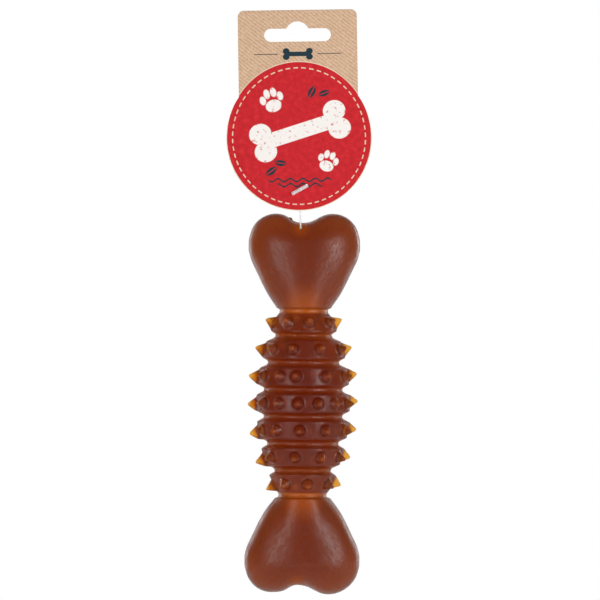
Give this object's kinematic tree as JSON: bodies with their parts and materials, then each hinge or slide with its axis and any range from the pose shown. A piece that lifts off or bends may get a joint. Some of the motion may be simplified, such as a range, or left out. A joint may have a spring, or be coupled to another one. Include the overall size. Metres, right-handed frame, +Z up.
{
  "type": "rubber chew toy",
  "caption": "Bone-shaped rubber dog chew with a ribbed, nubbed barrel and heart-shaped ends, hung by a tagging pin from a folded card with a display-hook slot.",
  "frame": {"origin": "middle of the hanging slot, halfway through the folded card", "axes": "+Z up along the hanging toy, +Y out of the back of the card, +X to the right seen from the front"},
  "size_m": [0.0698, 0.0537, 0.2804],
  "materials": {
    "amber_rubber": "satin, translucent brown that turns amber where it is thin",
    "printed_card": "kraft card printed in flat colours",
    "clear_nylon": "milky clear moulded nylon"
  },
  "bodies": {
    "card": {"hang_card": "printed_card"},
    "t_bar": {"pin_t_bar": "clear_nylon"},
    "filament": {"pin_filament": "clear_nylon", "pin_paddle": "clear_nylon"},
    "bone": {"bone": "amber_rubber"}
  },
  "joints": [
    {"name": "t_bar_swivel", "type": "hinge", "parent": "card", "child": "t_bar", "pos_m": [0.0001, 0, -0.0742], "axis": [0, 1, 0], "range_deg": [-60, 60]},
    {"name": "filament_swing", "type": "hinge", "parent": "t_bar", "child": "filament", "pos_m": [0.0001, 0.00105, -0.0742], "axis": [1, 0, 0], "range_deg": [0, 90]},
    {"name": "bone_swing", "type": "hinge", "parent": "filament", "child": "bone", "pos_m": [0.0001, 0.01655, -0.0927], "axis": [0, 1, 0], "range_deg": [-30, 30]}
  ]
}
